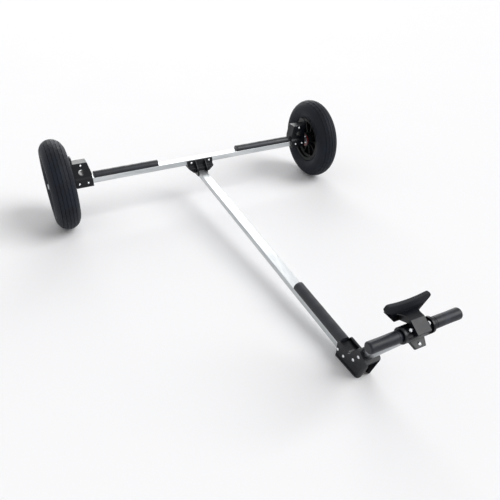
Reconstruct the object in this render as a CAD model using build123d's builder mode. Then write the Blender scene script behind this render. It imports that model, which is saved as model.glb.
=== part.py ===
"""Dinghy dolly: a T-shaped launching trolley on two pneumatic wheels.

An aluminium axle beam carries a wheel at each end.  A long tongue runs forward and
down from its middle to a moulded knuckle that skids on the floor.  A round stem rises
from the knuckle to a T handle, and a padded saddle above the handle takes the bow.

Frame: X along the axle (right is +X, seen from the handle facing the axle), -Y towards
the handle, Z up from the floor.  The origin is on the floor in the middle of the dolly.
"""

from build123d import *
import math
import os

os.makedirs("parts", exist_ok=True)

# ------------------------------------------------------------------ overall sizes, mm
wheel_diameter = 400.0
track = 1311.0                  # between the middle planes of the two wheels
tongue_reach = 1313.0           # from the axle forward to the knuckle's elbow, level
tongue_drop = 50.0              # tongue centre line below the axle, at the axle
elbow_height = 27.5             # elbow of tongue and stem above the floor
stem_length = 344.0             # elbow to the handle's axis
stem_angle = 55.5               # stem above the horizontal, degrees

# ------------------------------------------------------------------ tubes
tube_wall = 2.0
tube_width = 40.0               # beam and tongue, across their flat
tube_corner = 2.5
axle_diameter = 20.0
axle_tube_gap = 0.5             # stub axle to the beam's inside
tube_height = axle_diameter + 2 * (tube_wall + axle_tube_gap)
stem_diameter = 38.0
handle_diameter = 25.0
socket_gap = 0.1                # tube to its moulded socket, each side
edge_round = 2.0                # small round on moulded edges

# ------------------------------------------------------------------ fasteners
bolt_radius = 3.0
bolt_hole_radius = 3.3
head_radius = 5.4
head_height = 3.4
nut_across_corners = 11.5
nut_height = 5.0
bolt_tail = 1.5                 # thread that shows beyond a nut

# ------------------------------------------------------------------ wheels
tyre_width = 104.0
tyre_wall = 5.0
bead_radius = 101.6             # 8 inch rim
bead_half_width = 33.0
flange_radius = 112.0
flange_thickness = 3.2
bead_thickness = 9.0
seat_gap = 0.15                 # tyre bead to rim, bush to rim
rim_thickness = 4.0
rim_well_depth = 9.5
rim_well_half_width = 14.0
rim_web_thickness = 5.0
rib_count = 10
rib_thickness = 4.0
rib_half_depth = 20.0
rim_weld = 1.0                  # web and ribs run this far into what they join
hub_barrel_radius = 36.0
hub_barrel_half_length = 38.0
bush_radius = 29.85
bush_flange_radius = 33.0
bush_flange_thickness = 3.0
bush_core_radius = 14.0
bearing_radius = 21.0
bearing_width = 12.0
bearing_seat_gap = 0.05
axle_running_gap = 0.05         # stub axle in the bearings
end_play = 0.3                  # bearing to the spacer and to the washer
spacer_radius = 13.0
washer_radius = 15.0
washer_thickness = 2.5
axle_start = 518.0              # inner end of the stub axle, from the beam's middle
cap_radius = 12.5
cap_length = 9.0
cap_wall = 1.2
cap_round = 3.0

# ------------------------------------------------------------------ end brackets
bracket_inner = 515.0           # from the middle of the beam
bracket_width = 75.0
bracket_end_wall = 5.0
bracket_lower_half_depth = 34.0
bracket_upper_half_depth = 26.0
bracket_bottom = -20.0          # heights are from the axle's centre line
bracket_ledge_bottom = 17.0
bracket_ledge_top = 26.0
bracket_shoulder = 40.0
bracket_top = 93.0
bracket_lean = 13.0             # the inner side leans in above its shoulder
bracket_round = 3.0
bracket_bolt_inset = 23.0       # inner beam bolt from the bracket's inner side
bracket_bolt_pitch = 38.0
bracket_top_bolt = 82.5
eye_radius = 13.5
eye_height = 50.0
eye_inset = 43.0                # lashing eye and top bolt from the bracket's inner side
guard_thickness = 5.0
guard_half_depth = 28.0
guard_top = 120.0
guard_round = 20.0

# ------------------------------------------------------------------ rubber strips
strip_height = 23.0
strip_side = 8.0                # straight flank of the strip below its crown
beam_strip_length = 300.0
beam_strip_gap = 10.0           # strip to the end bracket
tongue_strip_length = 290.0

# ------------------------------------------------------------------ tee connector
tee_half_width = 64.0
tee_foot_half_width = 38.0
tee_wall = 8.0
tee_top = 11.0                  # heights are from the axle's centre line
tee_shoulder = -18.0
tee_waist = -26.0
tee_bottom = -50.0
tee_belly = 42.0                # front of the lower body from the axle
tee_back_top = 6.0
tee_housing_half_width = 26.0
tee_housing_reach = 60.0
tee_housing_back = 30.0
tee_rib = 4.0
tee_round = 4.0
tee_bolt_offset = 45.5
tee_under_bolt_offset = 13.0
tee_under_bolt_depth = 22.0
tongue_overhang = 2.0           # tongue's back end behind the connector
plug_cap = 4.0
plug_depth = 12.0

# ------------------------------------------------------------------ knuckle
cheek_thickness = 7.5
knuckle_back = 65.0             # behind the elbow
knuckle_back_rise = 16.0        # cheek above the tongue's top at its back end
knuckle_valley_back = 4.0       # lowest place of the cheek's upper edge, behind the elbow
knuckle_valley_rise = 17.0      # and above the tongue's top
knuckle_nose = 50.0             # in front of the elbow, at the floor
knuckle_toe_radius = 14.0
knuckle_front_round = 14.0      # front edge, seen along it
knuckle_mouth = 94.0            # along the stem from the elbow
knuckle_collar = 4.5            # moulding behind the stem at its mouth
knuckle_chin = 34.0             # front of the mouth from the stem's axis
knuckle_collar_band = 7.0
knuckle_rim = 1.5               # collar band stands this proud of the cheek
knuckle_round = 6.0
knuckle_valley_round = 12.0
knuckle_step = 2.0              # sleeve between the cheeks, inside their edges
knuckle_web = 5.0
knuckle_hollow = 26.0           # radius between the sleeve and the web
knuckle_hollow_reach = 18.0
knuckle_split = 0.2             # gap between the two halves
foot_height = 9.0
foot_flange = 1.5               # foot stands this proud of the cheek
foot_inset = 3.0                # and reaches this far in under the tongue
tongue_end_gap = 12.0           # tongue's end to the elbow
stem_end_gap = 20.0             # stem's end to the elbow
tongue_bolt_first = 27.0        # from the elbow, along the tongue
tongue_bolt_second = 58.0
tongue_spare_hole = 90.0        # cross hole in the tongue, in front of the axle
stem_bolt_first = 34.0          # from the elbow, along the stem
stem_bolt_second = 71.0
stem_head_gap = 1.9             # stem's top end to the handle's bore

# ------------------------------------------------------------------ handle and head
# Around the head, heights along the stem and distances square to it are from the
# handle's axis.
handle_half_length = 144.5
grip_radius = 17.0
grip_start = 52.0               # from the middle of the handle
grip_end = 150.5
grip_round = 5.0
collar_radius = 23.0
collar_half_length = 51.0
collar_lip = 8.0                # end lips that stay full round above the handle's axis
collar_body_radius = 16.0       # and the barrel between them
head_round = 2.0
head_socket_radius = 23.2
head_socket_length = 28.0
boss_front = 15.0
boss_back = 16.0
boss_fit = 0.1                  # boss to the bracket's cheeks, each side
ear_root_half_width = 23.0
ear_tip_half_width = 15.8
ear_root = 23.4
ear_reach = 45.0
ear_drop = 9.0                  # ear's upper face below the handle's axis
ear_thickness = 10.0
ear_round = 4.0
ear_bolt_reach = 34.5

# ------------------------------------------------------------------ bow saddle
saddle_half_width = 22.3
saddle_plate = 5.0
saddle_cheek = 3.3
saddle_top = 31.8               # face plate, along the stem
saddle_front = 18.6             # face plate's lower edge, square to the stem
saddle_corner = 4.0
saddle_bend = 10.0
saddle_clear = 1.5              # bracket's lower edge to the barrel
saddle_bolt_height = 22.1
saddle_bolt_back = 2.7
saddle_bolt_seat = 28.6         # bolt's stand-offs reach this far from the middle
saddle_bolt_seat_radius = 5.6
shelf_height = 40.0             # heights from here on are plumb above the handle's axis
shelf_thickness = 4.0
shelf_half_width = 52.7
shelf_back = 52.3               # level, behind the handle's axis
shelf_flare_start = 51.0        # square to the stem, where the shelf starts to widen
shelf_flare_end = 54.2
shelf_flare_round = 22.0
lip_height = 1.5                # low lip along the pad's foot
lip_thickness = 1.5
web_start = 41.3
web_thickness = 8.0
web_foot = 8.0
web_foot_half_width = 36.0
web_tip_half_width = 71.0
web_tip_bottom = 48.0
web_round = 1.0
pad_start = 38.3
pad_depth = 12.0
pad_flat = 51.0                 # half width of the flat middle of its underside
pad_tip_bottom_half_width = 72.0
pad_tip_bottom = 50.9
pad_half_width = 76.4
pad_widest = 61.0
pad_tip_top_half_width = 68.0
pad_tip_top = 72.9
pad_middle_top = 66.5
pad_corner = 5.0
pad_round = 4.0
pad_gap = 0.3                   # rising underside of the pad to the web

# ------------------------------------------------------------------ derived places
wheel_radius = wheel_diameter / 2
stem_cos = math.cos(math.radians(stem_angle))
stem_sin = math.sin(math.radians(stem_angle))
handle_reach = tongue_reach + stem_length * stem_cos
plate_reach = (saddle_top - edge_round) * stem_cos + (saddle_front - edge_round) * stem_sin + edge_round
ear_tip_reach = ear_reach * stem_sin - ear_drop * stem_cos
front_reach = handle_reach + max(plate_reach, ear_tip_reach)
axle_y = (front_reach - wheel_radius) / 2
elbow_y = axle_y - tongue_reach
handle_y = axle_y - handle_reach
handle_z = elbow_height + stem_length * stem_sin

axle_centre = Vector(0, axle_y, wheel_radius)
elbow = Vector(0, elbow_y, elbow_height)
tongue_start = Vector(0, axle_y, wheel_radius - tongue_drop)
tongue_direction = (elbow - tongue_start).normalized()
tongue_length = (elbow - tongue_start).length
stem_direction = Vector(0, -stem_cos, stem_sin)
handle_centre = elbow + stem_direction * stem_length

bracket_outer = bracket_inner + bracket_width
wheel_x = track / 2
bush_half_length = hub_barrel_half_length + bush_flange_thickness
bearing_outer_face = bush_half_length - bush_flange_thickness
bearing_inner_face = bearing_outer_face - bearing_width
axle_end = wheel_x + bearing_outer_face + end_play + washer_thickness + cap_length - cap_wall
strip_end = bracket_inner - beam_strip_gap
cheek_outer = tube_width / 2 + cheek_thickness

# Planes: cross sections look along the tube, side views look along X.
across_beam = Plane(origin=axle_centre, x_dir=(0, 1, 0), z_dir=(1, 0, 0))
front_view = Plane(origin=axle_centre, x_dir=(1, 0, 0), z_dir=(0, -1, 0))
across_tongue = Plane(origin=tongue_start, x_dir=(1, 0, 0), z_dir=tongue_direction)
tongue_side = Plane(origin=elbow, x_dir=-tongue_direction, z_dir=(1, 0, 0))
elbow_side = Plane(origin=elbow, x_dir=(0, 1, 0), z_dir=(1, 0, 0))
stem_side = Plane(origin=elbow, x_dir=stem_direction, z_dir=(1, 0, 0))
across_stem = Plane(origin=elbow, x_dir=(1, 0, 0), z_dir=stem_direction)
head_side = Plane(origin=handle_centre, x_dir=stem_direction, z_dir=(1, 0, 0))
across_handle = Plane(origin=handle_centre, x_dir=(0, 1, 0), z_dir=(1, 0, 0))
across_head = Plane(origin=handle_centre, x_dir=(1, 0, 0), z_dir=stem_direction)
saddle_view = Plane(origin=handle_centre, x_dir=(1, 0, 0), z_dir=(0, -1, 0))
tongue_up = Vector(0, tongue_direction.Z, -tongue_direction.Y)
under_tongue = Plane(
    origin=tongue_start - tongue_up * tube_height / 2, x_dir=(1, 0, 0), z_dir=-tongue_up
)
sides = ((-1, "left"), (1, "right"))


# ------------------------------------------------------------------ shared shapes
def along_stem(distance, out):
    """Point in a side view, along the stem and square to it towards the rear."""
    return (-distance * stem_cos + out * stem_sin, distance * stem_sin + out * stem_cos)


def write(piece, label):
    """Label a finished piece and write its STEP file."""
    piece.label = label
    export_step(piece, f"parts/{label}.step")


def outline(points, rounds):
    """A closed face through the points, each corner rounded by its own radius."""
    with BuildLine() as edge:
        FilletPolyline(*points, radius=rounds, close=True)
    make_face(edge.edges())


def block(plane, start, end, points, rounds, mode=Mode.ADD):
    """Outline carried along the plane's normal from start to end."""
    with BuildSketch(plane.offset(start)) as face:
        outline(points, rounds)
    extrude(face.sketch, amount=end - start, mode=mode)


def box_tube(plane, start, end):
    """Rectangular tube with rounded corners, from start to end along the plane's normal."""
    with BuildSketch(plane.offset(start)) as section:
        RectangleRounded(tube_width, tube_height, tube_corner)
        RectangleRounded(
            tube_width - 2 * tube_wall, tube_height - 2 * tube_wall, tube_corner / 2, mode=Mode.SUBTRACT
        )
    extrude(section.sketch, amount=end - start)


def socket(plane, start, end):
    """Room for a rectangular tube inside a moulding."""
    with BuildSketch(plane.offset(start)) as room:
        Rectangle(tube_width + 2 * socket_gap, tube_height + 2 * socket_gap)
    extrude(room.sketch, amount=end - start, mode=Mode.SUBTRACT)


def strip(plane, start, end):
    """Rubber strip with a domed crown, lying on a tube's upper face."""
    half = tube_width / 2
    base = tube_height / 2
    shoulder = base + strip_side
    with BuildSketch(plane.offset(start)) as section:
        with BuildLine():
            Polyline((-half, shoulder), (-half, base), (half, base), (half, shoulder))
            ThreePointArc((half, shoulder), (0, base + strip_height), (-half, shoulder))
        make_face()
    extrude(section.sketch, amount=end - start)


def ring(plane, start, end, outer, inner=0.0, mode=Mode.ADD):
    """Ring along the plane's normal, or a disc where no inner radius is given."""
    with BuildSketch(plane.offset(start)) as face:
        Circle(outer)
        if inner > 0:
            Circle(inner, mode=Mode.SUBTRACT)
    extrude(face.sketch, amount=end - start, mode=mode)


def bolt_holes(plane, places, start, end):
    """Clearance holes at the places, from start to end along the plane's normal."""
    with BuildSketch(plane.offset(start)) as holes:
        with Locations(*places):
            Circle(bolt_hole_radius)
    extrude(holes.sketch, amount=end - start, mode=Mode.SUBTRACT)


def bolts(plane, places, grip):
    """Button-head bolts seated on the plane, through the grip behind it, each with its nut."""
    with BuildSketch(plane) as heads:
        with Locations(*places):
            Circle(head_radius)
    extrude(heads.sketch, amount=head_height)
    with BuildSketch(plane) as shanks:
        with Locations(*places):
            Circle(bolt_radius)
    extrude(shanks.sketch, amount=-(grip + nut_height + bolt_tail))
    with BuildSketch(plane.offset(-grip)) as nuts:
        with Locations(*places):
            RegularPolygon(nut_across_corners / 2, 6)
    extrude(nuts.sketch, amount=-nut_height)


# ------------------------------------------------------------------ axle beam
bracket_bolt_xs = (
    bracket_inner + bracket_bolt_inset,
    bracket_inner + bracket_bolt_inset + bracket_bolt_pitch,
)
beam_half_length = bracket_outer - bracket_end_wall - socket_gap
beam_bolt_places = [(side * x, 0) for side in (-1, 1) for x in (tee_bolt_offset, *bracket_bolt_xs)]

with BuildPart() as axle_beam:
    box_tube(across_beam, -beam_half_length, beam_half_length)
    bolt_holes(front_view, beam_bolt_places, -tube_width, tube_width)
write(axle_beam.part, "axle_beam")

# ------------------------------------------------------------------ tongue
tongue_back = tee_housing_back + tongue_overhang
tongue_front = tongue_length - tongue_end_gap
tongue_bolt_places = [(tongue_bolt_first, 0), (tongue_bolt_second, 0)]
under_bolt_places = [(0, tee_under_bolt_offset), (0, -tee_under_bolt_offset)]

with BuildPart() as tongue_tube:
    box_tube(across_tongue, -tongue_back, tongue_front)
    bolt_holes(
        tongue_side, [*tongue_bolt_places, (tongue_length - tongue_spare_hole, 0)], -tube_width, tube_width
    )
    bolt_holes(under_tongue, under_bolt_places, -tube_height, 0)
write(tongue_tube.part, "tongue_tube")

with BuildPart() as tongue_plug:
    with BuildSketch(across_tongue.offset(-tongue_back)):
        RectangleRounded(tube_width, tube_height, tube_corner)
    extrude(amount=-plug_cap)
    with BuildSketch(across_tongue.offset(-tongue_back)):
        Rectangle(
            tube_width - 2 * (tube_wall + axle_tube_gap), tube_height - 2 * (tube_wall + axle_tube_gap)
        )
    extrude(amount=plug_depth)
write(tongue_plug.part, "tongue_plug")

# ------------------------------------------------------------------ rubber strips
for side, name in sides:
    with BuildPart() as beam_strip:
        strip(across_beam, side * strip_end, side * (strip_end - beam_strip_length))
    write(beam_strip.part, f"beam_strip_{name}")

tongue_strip_end = tongue_length - knuckle_back - socket_gap
with BuildPart() as tongue_strip:
    strip(across_tongue, tongue_strip_end - tongue_strip_length, tongue_strip_end)
write(tongue_strip.part, "tongue_strip")

# ------------------------------------------------------------------ tee connector
beam_front = tube_width / 2
plate_front = beam_front + tee_wall
housing_floor = -tongue_drop - tube_height / 2
rib_inner = tee_housing_half_width - tee_rib

with BuildPart() as tee_connector:
    # From the side: a plate in front of the beam, a belly under it and a lip behind it.
    block(
        across_beam,
        -tee_half_width,
        tee_half_width,
        [
            (-beam_front, tee_top),
            (-plate_front, tee_top),
            (-plate_front, tee_shoulder),
            (-tee_belly, tee_waist),
            (-tee_belly, tee_bottom),
            (tee_housing_back, tee_bottom),
            (tee_housing_back, tee_back_top),
            (beam_front, tee_back_top),
            (beam_front, 0),
            (-beam_front, 0),
        ],
        [0, edge_round, tee_round, tee_round, tee_round, tee_round, edge_round, 0, 0, 0],
    )
    # From the front the belly narrows downwards.
    block(
        front_view,
        -tee_belly,
        tee_belly,
        [
            (-tee_half_width, tee_top),
            (tee_half_width, tee_top),
            (tee_half_width, tee_waist),
            (tee_foot_half_width, tee_bottom),
            (-tee_foot_half_width, tee_bottom),
            (-tee_half_width, tee_waist),
        ],
        [tee_round] * 6,
        mode=Mode.INTERSECT,
    )
    # Two ribs come down over the tongue's flanks.
    for start, end in ((-tee_housing_half_width, -rib_inner), (rib_inner, tee_housing_half_width)):
        block(
            across_beam,
            start,
            end,
            [
                (-beam_front, tee_top),
                (-plate_front, tee_top),
                (-tee_housing_reach, tee_waist),
                (-tee_housing_reach, housing_floor),
                (beam_front, housing_floor),
                (beam_front, tee_waist),
                (-beam_front, tee_waist),
            ],
            [0, tee_round, tee_round, tee_round, tee_round, 0, 0],
        )
    socket(across_beam, -tee_half_width, tee_half_width)
    socket(across_tongue, -2 * tee_belly, 2 * tee_housing_reach)
    bolt_holes(front_view, [(-tee_bolt_offset, 0), (tee_bolt_offset, 0)], -tee_belly, tee_belly)
    bolt_holes(under_tongue, under_bolt_places, -tube_height - tee_under_bolt_depth, 0)
write(tee_connector.part, "tee_connector")

with BuildPart() as tee_bolts:
    bolts(
        front_view.offset(plate_front),
        [(-tee_bolt_offset, 0), (tee_bolt_offset, 0)],
        plate_front + tee_housing_back,
    )
    # The two screws under the tongue bite into the connector's body.
    for place in under_bolt_places:
        with BuildSketch(under_tongue):
            with Locations(place):
                Circle(head_radius)
        extrude(amount=head_height)
        with BuildSketch(under_tongue):
            with Locations(place):
                Circle(bolt_radius)
        extrude(amount=-(tube_height + tee_under_bolt_depth - bolt_tail))
write(tee_bolts.part, "tee_bolts")

# ------------------------------------------------------------------ end brackets
eye_x = bracket_inner + eye_inset
for side, name in sides:
    side_view = front_view if side > 0 else Plane(front_view.origin, x_dir=(-1, 0, 0), z_dir=(0, 1, 0))
    with BuildPart() as end_bracket:
        # From the front: inner side upright to its shoulder, then leaning in to the top.
        block(
            side_view,
            -bracket_lower_half_depth,
            bracket_lower_half_depth,
            [
                (bracket_inner, bracket_bottom),
                (bracket_outer, bracket_bottom),
                (bracket_outer, bracket_top),
                (bracket_inner + bracket_lean, bracket_top),
                (bracket_inner, bracket_shoulder),
            ],
            [bracket_round, 0, 0, bracket_round, bracket_round],
        )
        # From the side: the clamp around the beam is deeper than the block above it.
        block(
            across_beam,
            -bracket_outer,
            bracket_outer,
            [
                (-bracket_lower_half_depth, bracket_bottom),
                (bracket_lower_half_depth, bracket_bottom),
                (bracket_lower_half_depth, bracket_ledge_bottom),
                (bracket_upper_half_depth, bracket_ledge_top),
                (bracket_upper_half_depth, bracket_top),
                (-bracket_upper_half_depth, bracket_top),
                (-bracket_upper_half_depth, bracket_ledge_top),
                (-bracket_lower_half_depth, bracket_ledge_bottom),
            ],
            [bracket_round] * 8,
            mode=Mode.INTERSECT,
        )
        # Guard plate between the block and the tyre.
        block(
            across_beam,
            side * bracket_outer,
            side * (bracket_outer + guard_thickness),
            [
                (-guard_half_depth, bracket_bottom),
                (guard_half_depth, bracket_bottom),
                (guard_half_depth, guard_top),
                (-guard_half_depth, guard_top),
            ],
            [bracket_round, bracket_round, guard_round, guard_round],
        )
        socket(across_beam, side * (bracket_inner - edge_round), side * (bracket_outer - bracket_end_wall))
        ring(
            across_beam,
            side * bracket_inner,
            side * (bracket_outer + 2 * guard_thickness),
            axle_diameter / 2 + socket_gap,
            mode=Mode.SUBTRACT,
        )
        bolt_holes(
            side_view,
            [(x, 0) for x in bracket_bolt_xs] + [(eye_x, bracket_top_bolt)],
            -2 * bracket_lower_half_depth,
            2 * bracket_lower_half_depth,
        )
        with BuildSketch(side_view.offset(-bracket_lower_half_depth)):
            with Locations((eye_x, eye_height)):
                Circle(eye_radius)
        extrude(amount=2 * bracket_lower_half_depth, mode=Mode.SUBTRACT)
    write(end_bracket.part, f"end_bracket_{name}")

    with BuildPart() as bracket_bolts:
        bolts(
            front_view.offset(bracket_lower_half_depth),
            [(side * x, 0) for x in bracket_bolt_xs],
            2 * bracket_lower_half_depth,
        )
        bolts(
            front_view.offset(bracket_upper_half_depth),
            [(side * eye_x, bracket_top_bolt)],
            2 * bracket_upper_half_depth,
        )
    write(bracket_bolts.part, f"bracket_bolts_{name}")

    # Stub axle, cross-bolted in the beam, with the spacer inside the wheel and the
    # washer and pressed cap outside it.
    hub_plane = across_beam.offset(side * wheel_x) if side > 0 else Plane(
        across_beam.offset(-wheel_x).origin, x_dir=(0, -1, 0), z_dir=(-1, 0, 0)
    )
    with BuildPart() as stub_axle:
        ring(hub_plane, axle_start - wheel_x, axle_end - wheel_x, axle_diameter / 2)
        bolt_holes(front_view, [(side * x, 0) for x in bracket_bolt_xs], -tube_width, tube_width)
    write(stub_axle.part, f"stub_axle_{name}")

    guard_face = bracket_outer + guard_thickness - wheel_x
    with BuildPart() as axle_spacer:
        ring(
            hub_plane,
            guard_face,
            -bearing_outer_face - end_play,
            spacer_radius,
            axle_diameter / 2 + socket_gap,
        )
    write(axle_spacer.part, f"axle_spacer_{name}")

    washer_face = bearing_outer_face + end_play
    with BuildPart() as axle_washer:
        ring(
            hub_plane,
            washer_face,
            washer_face + washer_thickness,
            washer_radius,
            axle_diameter / 2 + socket_gap,
        )
    write(axle_washer.part, f"axle_washer_{name}")

    cap_face = washer_face + washer_thickness
    with BuildPart() as axle_cap:
        ring(hub_plane, cap_face, cap_face + cap_length, cap_radius)
        fillet(axle_cap.faces().sort_by(Axis.X)[-1 if side > 0 else 0].edges(), cap_round)
        ring(
            hub_plane,
            cap_face,
            cap_face + cap_length - cap_wall,
            axle_diameter / 2 + socket_gap,
            mode=Mode.SUBTRACT,
        )
    write(axle_cap.part, f"axle_cap_{name}")

    # -------------------------------------------------------------- wheel
    hub_section = Plane(hub_plane.origin, x_dir=hub_plane.z_dir, z_dir=(0, -side, 0))
    wheel_axis = Axis(hub_plane.origin, hub_plane.z_dir)
    crown = wheel_radius
    waist = wheel_radius - tyre_width / 2
    half = tyre_width / 2
    with BuildPart() as tyre:
        with BuildSketch(hub_section):
            with BuildLine():
                ThreePointArc((-half, waist), (0, crown), (half, waist))
                TangentArc((half, waist), (bead_half_width, flange_radius), tangent=(0, -1))
                Polyline(
                    (bead_half_width, flange_radius),
                    (bead_half_width, bead_radius),
                    (bead_half_width - bead_thickness, bead_radius),
                    (bead_half_width - tyre_wall, flange_radius),
                )
                TangentArc(
                    (half - tyre_wall, waist), (bead_half_width - tyre_wall, flange_radius), tangent=(0, -1)
                )
                ThreePointArc(
                    (half - tyre_wall, waist), (0, crown - tyre_wall), (-half + tyre_wall, waist)
                )
                TangentArc(
                    (-half + tyre_wall, waist), (-bead_half_width + tyre_wall, flange_radius), tangent=(0, -1)
                )
                Polyline(
                    (-bead_half_width + tyre_wall, flange_radius),
                    (-bead_half_width + bead_thickness, bead_radius),
                    (-bead_half_width, bead_radius),
                    (-bead_half_width, flange_radius),
                )
                TangentArc((-half, waist), (-bead_half_width, flange_radius), tangent=(0, -1))
            make_face()
        revolve(axis=wheel_axis)
    write(tyre.part, f"tyre_{name}")

    seat = bead_radius - seat_gap
    well = seat - rim_well_depth
    flange_inner = bead_half_width + seat_gap
    flange_outer = flange_inner + flange_thickness
    well_slope = rim_well_half_width + bead_thickness - rim_thickness
    inside = well - rim_thickness
    rim_half = [
        (flange_outer, flange_radius),
        (flange_inner, flange_radius),
        (flange_inner, seat),
        (well_slope, seat),
        (rim_well_half_width, well),
    ]
    inner_half = [
        (rim_well_half_width, inside),
        (well_slope + rim_thickness / 2, seat - rim_thickness),
        (flange_outer, seat - rim_thickness),
    ]
    with BuildPart() as rim:
        with BuildSketch(hub_section):
            with BuildLine():
                Polyline(
                    *rim_half,
                    *[(-a, r) for a, r in reversed(rim_half)],
                    *[(-a, r) for a, r in reversed(inner_half)],
                    *inner_half,
                    close=True,
                )
            make_face()
            with Locations((0, (inside + hub_barrel_radius) / 2)):
                Rectangle(rim_web_thickness, inside - hub_barrel_radius + 2 * rim_weld)
            with Locations((0, (hub_barrel_radius + bush_radius + seat_gap) / 2)):
                Rectangle(2 * hub_barrel_half_length, hub_barrel_radius - bush_radius - seat_gap)
        revolve(axis=wheel_axis)
        rib_length = well - hub_barrel_radius
        with BuildSketch(hub_plane):
            with PolarLocations(hub_barrel_radius - rim_weld + rib_length / 2, rib_count):
                Rectangle(rib_length, rib_thickness)
        extrude(amount=rib_half_depth, both=True)
    write(rim.part, f"rim_{name}")

    with BuildPart() as hub_bush:
        ring(hub_plane, -hub_barrel_half_length, hub_barrel_half_length, bush_radius)
        for end in (-1, 1):
            ring(
                hub_plane,
                end * hub_barrel_half_length,
                end * bush_half_length,
                bush_flange_radius,
            )
        ring(hub_plane, -bush_half_length, bush_half_length, bush_core_radius, mode=Mode.SUBTRACT)
        for end in (-1, 1):
            ring(
                hub_plane,
                end * bearing_inner_face,
                end * bush_half_length,
                bearing_radius,
                mode=Mode.SUBTRACT,
            )
    write(hub_bush.part, f"hub_bush_{name}")

    with BuildPart() as bearings:
        for end in (-1, 1):
            ring(
                hub_plane,
                end * bearing_inner_face,
                end * bearing_outer_face,
                bearing_radius - bearing_seat_gap,
                axle_diameter / 2 + axle_running_gap,
            )
    write(bearings.part, f"bearings_{name}")

# ------------------------------------------------------------------ knuckle
floor = -elbow_height
slope = math.atan2(tongue_start.Z - elbow.Z, tongue_reach)
tongue_top_at_elbow = tube_height / 2 / math.cos(slope)
rear_top = tongue_top_at_elbow + knuckle_back * math.tan(slope) + knuckle_back_rise
mouth_half = stem_diameter / 2 + knuckle_collar
sleeve_back = mouth_half - knuckle_step
web_top = tube_height / 2 + knuckle_web
band_start = knuckle_mouth - knuckle_collar_band
# The cheek's front edge rises from its toe to the front of the mouth.
toe = Vector(-knuckle_nose, floor)
chin = Vector(*along_stem(knuckle_mouth, -knuckle_chin))
up_front = (chin - toe).normalized()
into_cheek = Vector(up_front.Y, -up_front.X)
front_length = (chin - toe).length
foot_end = toe + up_front * (front_length - 2 * knuckle_collar_band)
foot_corner = toe + (Vector(1, 0) + up_front) * (foot_height / up_front.Y)
cheek_points = [
    (knuckle_back, floor),
    toe,
    chin,
    along_stem(knuckle_mouth, mouth_half),
    (knuckle_valley_back, tongue_top_at_elbow + knuckle_valley_rise),
    (knuckle_back, rear_top),
]
cheek_rounds = [
    edge_round,
    knuckle_toe_radius,
    knuckle_round,
    knuckle_round,
    knuckle_valley_round,
    knuckle_round,
]
foot_points = [
    (knuckle_back, floor),
    toe,
    foot_end,
    foot_end + into_cheek * foot_height,
    foot_corner,
    (knuckle_back, floor + foot_height),
]
foot_rounds = [
    edge_round,
    knuckle_toe_radius,
    edge_round,
    edge_round,
    knuckle_toe_radius - foot_height,
    edge_round,
]
# Where the sleeve's rear face meets the web's upper face, in the tongue's side view.
stem_turn = math.radians(180 - stem_angle) - slope
meet = Vector(sleeve_back / math.sin(stem_turn) + web_top / math.tan(stem_turn), web_top)
up_sleeve = Vector(math.cos(stem_turn), math.sin(stem_turn))
into_sleeve = Vector(-math.sin(stem_turn), math.cos(stem_turn)) * knuckle_step
hollow_points = [
    meet + up_sleeve * knuckle_hollow_reach + into_sleeve,
    meet + up_sleeve * knuckle_hollow_reach,
    meet,
    meet + Vector(knuckle_hollow_reach, 0),
    meet + Vector(knuckle_hollow_reach, -knuckle_step),
    meet + Vector(0, -knuckle_step),
]
stem_bolt_places = [(stem_bolt_first, 0), (stem_bolt_second, 0)]
knuckle_reach = knuckle_back + knuckle_nose
along_front = Plane(
    origin=elbow + Vector(0, toe.X, toe.Y), x_dir=(1, 0, 0), z_dir=(0, up_front.X, up_front.Y)
)

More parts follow.
